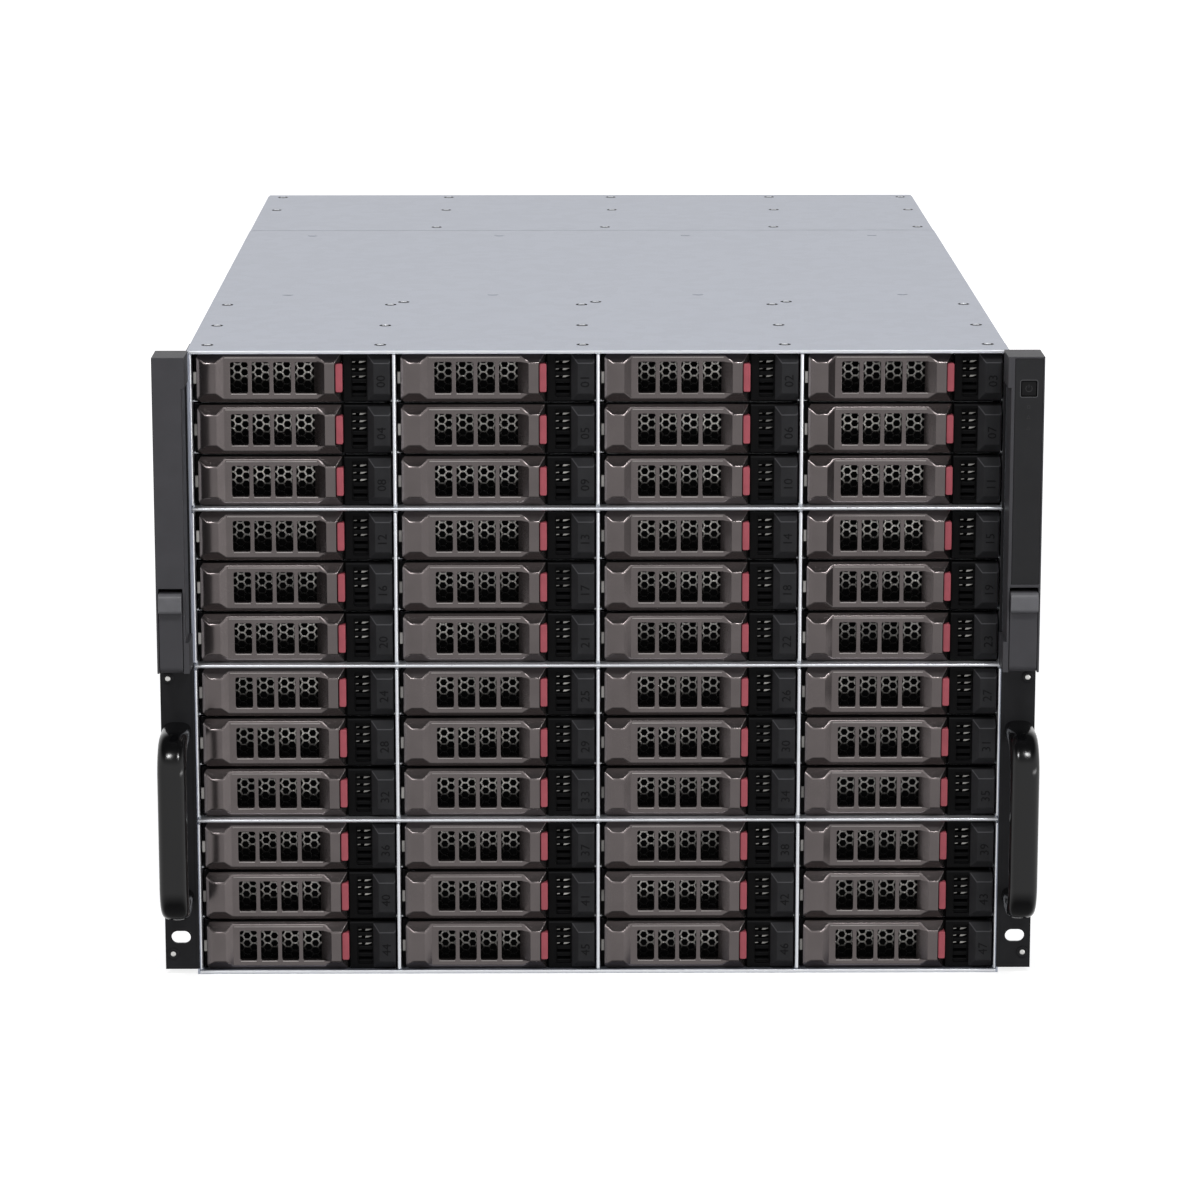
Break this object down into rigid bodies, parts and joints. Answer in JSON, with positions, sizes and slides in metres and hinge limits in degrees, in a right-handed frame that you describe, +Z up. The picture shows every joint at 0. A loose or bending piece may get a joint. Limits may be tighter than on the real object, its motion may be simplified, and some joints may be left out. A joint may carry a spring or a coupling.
{
  "type": "rack storage array",
  "caption": "Rack-mounted storage array with rows of lever-latched drive carriers in a steel cage, ear covers with flip latches, carrying handles and plug-in power supplies.",
  "frame": {"origin": "middle of the bottom face", "axes": "+Z up, +X to the right of someone facing the front, +Y from the front to the rear"},
  "size_m": [0.4826, 0.769, 0.3522],
  "materials": {
    "galvanised": "satin zinc-coated sheet",
    "cage_zinc": "bright zinc-coated sheet",
    "lever_paint": "metallic grey-brown paint",
    "bezel_black": "moulded, fine grain",
    "release_red": "moulded",
    "screen_steel": "perforated bright steel",
    "sled_steel": "plain",
    "drive_alloy": "cast",
    "board": "solder mask",
    "socket_black": "moulded",
    "fan_black": "moulded",
    "heatsink_alloy": "milled",
    "port_shell": "tinned shell",
    "supply_steel": "zinc-coated sheet",
    "ear_paint": "fine texture paint",
    "cover_charcoal": "fine grain",
    "latch_charcoal": "fine grain",
    "handle_black": "semi gloss",
    "insert_black": "smooth film",
    "key_grey": "smooth"
  },
  "bodies": {
    "chassis": {"chassis_base": "galvanised", "top_cover_front": "galvanised", "top_cover_rear": "galvanised", "rear_panel": "galvanised", "slot_covers": "galvanised", "bay_shelves": "cage_zinc", "bay_dividers": "cage_zinc", "backplanes": "board", "backplane_sockets": "socket_black", "fan_wall": "galvanised", "fan_frames": "fan_black", "controller_board": "board", "cpu_heatsink": "heatsink_alloy", "network_ports": "port_shell", "rack_ear_left": "ear_paint", "rack_ear_right": "ear_paint", "ear_cover_left": "cover_charcoal", "ear_cover_right": "cover_charcoal", "handle_left": "handle_black", "handle_right": "handle_black", "panel_insert": "insert_black", "latched_levers": "lever_paint", "latched_releases": "release_red", "latched_bezels": "bezel_black", "latched_screens": "screen_steel", "latched_sleds": "sled_steel", "latched_drives": "drive_alloy"},
    "bay_01_carrier": {"bay_01_sled": "sled_steel", "bay_01_bezel": "bezel_black", "bay_01_screen": "screen_steel", "bay_01_drive": "drive_alloy"},
    "bay_01_handle": {"bay_01_lever": "lever_paint"},
    "bay_01_button": {"bay_01_release": "release_red"},
    "bay_02_carrier": {"bay_02_sled": "sled_steel", "bay_02_bezel": "bezel_black", "bay_02_screen": "screen_steel", "bay_02_drive": "drive_alloy"},
    "bay_02_handle": {"bay_02_lever": "lever_paint"},
    "bay_02_button": {"bay_02_release": "release_red"},
    "bay_03_carrier": {"bay_03_sled": "sled_steel", "bay_03_bezel": "bezel_black", "bay_03_screen": "screen_steel", "bay_03_drive": "drive_alloy"},
    "bay_03_handle": {"bay_03_lever": "lever_paint"},
    "bay_03_button": {"bay_03_release": "release_red"},
    "bay_04_carrier": {"bay_04_sled": "sled_steel", "bay_04_bezel": "bezel_black", "bay_04_screen": "screen_steel", "bay_04_drive": "drive_alloy"},
    "bay_04_handle": {"bay_04_lever": "lever_paint"},
    "bay_04_button": {"bay_04_release": "release_red"},
    "fan_1": {"fan_rotor_1": "fan_black"},
    "fan_2": {"fan_rotor_2": "fan_black"},
    "fan_3": {"fan_rotor_3": "fan_black"},
    "latch_left": {"ear_latch_left": "latch_charcoal"},
    "latch_right": {"ear_latch_right": "latch_charcoal"},
    "power_key": {"power_button": "key_grey"},
    "supply_1": {"power_supply_1": "supply_steel"},
    "supply_2": {"power_supply_2": "supply_steel"}
  },
  "joints": [
    {"name": "bay_01_slide", "type": "slide", "parent": "chassis", "child": "bay_01_carrier", "axis": [0, -1, 0], "range_m": [0, 0.18]},
    {"name": "bay_01_lever", "type": "hinge", "parent": "bay_01_carrier", "child": "bay_01_handle", "pos_m": [-0.21415, -0.3436, 0.33625], "axis": [0, 0, -1], "range_deg": [0, 50]},
    {"name": "bay_01_release", "type": "slide", "parent": "bay_01_carrier", "child": "bay_01_button", "axis": [0, 1, 0], "range_m": [0, 0.0025], "stiffness_N_per_m": 400},
    {"name": "bay_02_slide", "type": "slide", "parent": "chassis", "child": "bay_02_carrier", "axis": [0, -1, 0], "range_m": [0, 0.18]},
    {"name": "bay_02_lever", "type": "hinge", "parent": "bay_02_carrier", "child": "bay_02_handle", "pos_m": [-0.10315, -0.3436, 0.33625], "axis": [0, 0, -1], "range_deg": [0, 50]},
    {"name": "bay_02_release", "type": "slide", "parent": "bay_02_carrier", "child": "bay_02_button", "axis": [0, 1, 0], "range_m": [0, 0.0025], "stiffness_N_per_m": 400},
    {"name": "bay_03_slide", "type": "slide", "parent": "chassis", "child": "bay_03_carrier", "axis": [0, -1, 0], "range_m": [0, 0.18]},
    {"name": "bay_03_lever", "type": "hinge", "parent": "bay_03_carrier", "child": "bay_03_handle", "pos_m": [0.00785, -0.3436, 0.33625], "axis": [0, 0, -1], "range_deg": [0, 50]},
    {"name": "bay_03_release", "type": "slide", "parent": "bay_03_carrier", "child": "bay_03_button", "axis": [0, 1, 0], "range_m": [0, 0.0025], "stiffness_N_per_m": 400},
    {"name": "bay_04_slide", "type": "slide", "parent": "chassis", "child": "bay_04_carrier", "axis": [0, -1, 0], "range_m": [0, 0.18]},
    {"name": "bay_04_lever", "type": "hinge", "parent": "bay_04_carrier", "child": "bay_04_handle", "pos_m": [0.11885, -0.3436, 0.33625], "axis": [0, 0, -1], "range_deg": [0, 50]},
    {"name": "bay_04_release", "type": "slide", "parent": "bay_04_carrier", "child": "bay_04_button", "axis": [0, 1, 0], "range_m": [0, 0.0025], "stiffness_N_per_m": 400},
    {"name": "fan_1_spin", "type": "hinge", "parent": "chassis", "child": "fan_1", "pos_m": [-0.14615, -0.1035, 0.1761], "axis": [0, 1, 0], "continuous": true},
    {"name": "fan_2_spin", "type": "hinge", "parent": "chassis", "child": "fan_2", "pos_m": [0, -0.1035, 0.1761], "axis": [0, 1, 0], "continuous": true},
    {"name": "fan_3_spin", "type": "hinge", "parent": "chassis", "child": "fan_3", "pos_m": [0.14615, -0.1035, 0.1761], "axis": [0, 1, 0], "continuous": true},
    {"name": "latch_left_flip", "type": "hinge", "parent": "chassis", "child": "latch_left", "pos_m": [-0.23245, -0.3726, 0.182], "axis": [1, 0, 0], "range_deg": [0, 70]},
    {"name": "latch_right_flip", "type": "hinge", "parent": "chassis", "child": "latch_right", "pos_m": [0.2313, -0.3726, 0.182], "axis": [1, 0, 0], "range_deg": [0, 70]},
    {"name": "power_button_press", "type": "slide", "parent": "chassis", "child": "power_key", "axis": [0, 1, 0], "range_m": [0, 0.0015], "stiffness_N_per_m": 500},
    {"name": "supply_1_slide", "type": "slide", "parent": "chassis", "child": "supply_1", "axis": [0, 1, 0], "range_m": [0, 0.17]},
    {"name": "supply_2_slide", "type": "slide", "parent": "chassis", "child": "supply_2", "axis": [0, 1, 0], "range_m": [0, 0.17]}
  ]
}
